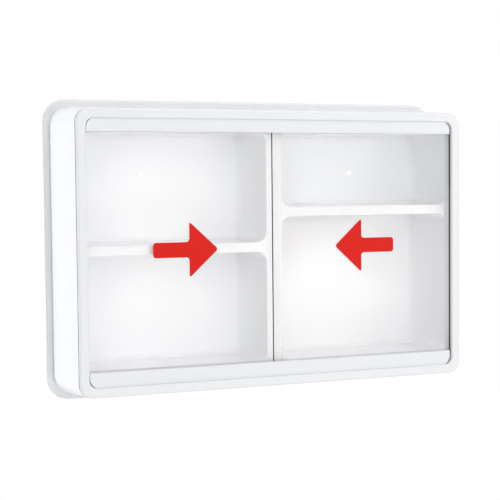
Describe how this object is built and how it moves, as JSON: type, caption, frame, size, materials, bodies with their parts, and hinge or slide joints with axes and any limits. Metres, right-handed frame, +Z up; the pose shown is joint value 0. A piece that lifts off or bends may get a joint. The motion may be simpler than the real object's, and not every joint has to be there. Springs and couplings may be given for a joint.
{
  "type": "first aid cabinet",
  "caption": "Wall-hung white plastic first aid cabinet with a flared casing, a bezel frame, a tray of moulded pockets and clear sliding doors.",
  "frame": {"origin": "on the wall plane, midway between the two wall screw holes", "axes": "+X to the right as seen from the front, +Y into the wall (the front faces -Y), +Z up"},
  "size_m": [0.38, 0.08, 0.262],
  "materials": {
    "white_moulding": "glossy injection moulding",
    "white_extrusion": "smooth extruded profile",
    "clear_sheet": "clear polished sheet with sawn edges",
    "red_film": "cut adhesive film",
    "zinc_steel": "bright zinc plating"
  },
  "bodies": {
    "cabinet": {"casing": "white_moulding", "front_frame": "white_moulding", "compartment_tray": "white_moulding", "top_track": "white_extrusion", "bottom_track": "white_extrusion", "frame_screws": "zinc_steel"},
    "left_panel": {"left_door": "clear_sheet"},
    "right_panel": {"right_door": "clear_sheet"}
  },
  "joints": [
    {"name": "left_door_slide", "type": "slide", "parent": "cabinet", "child": "left_panel", "axis": [1, 0, 0], "range_m": [0, 0.165]},
    {"name": "right_door_slide", "type": "slide", "parent": "cabinet", "child": "right_panel", "axis": [1, 0, 0], "range_m": [-0.165, 0]}
  ]
}
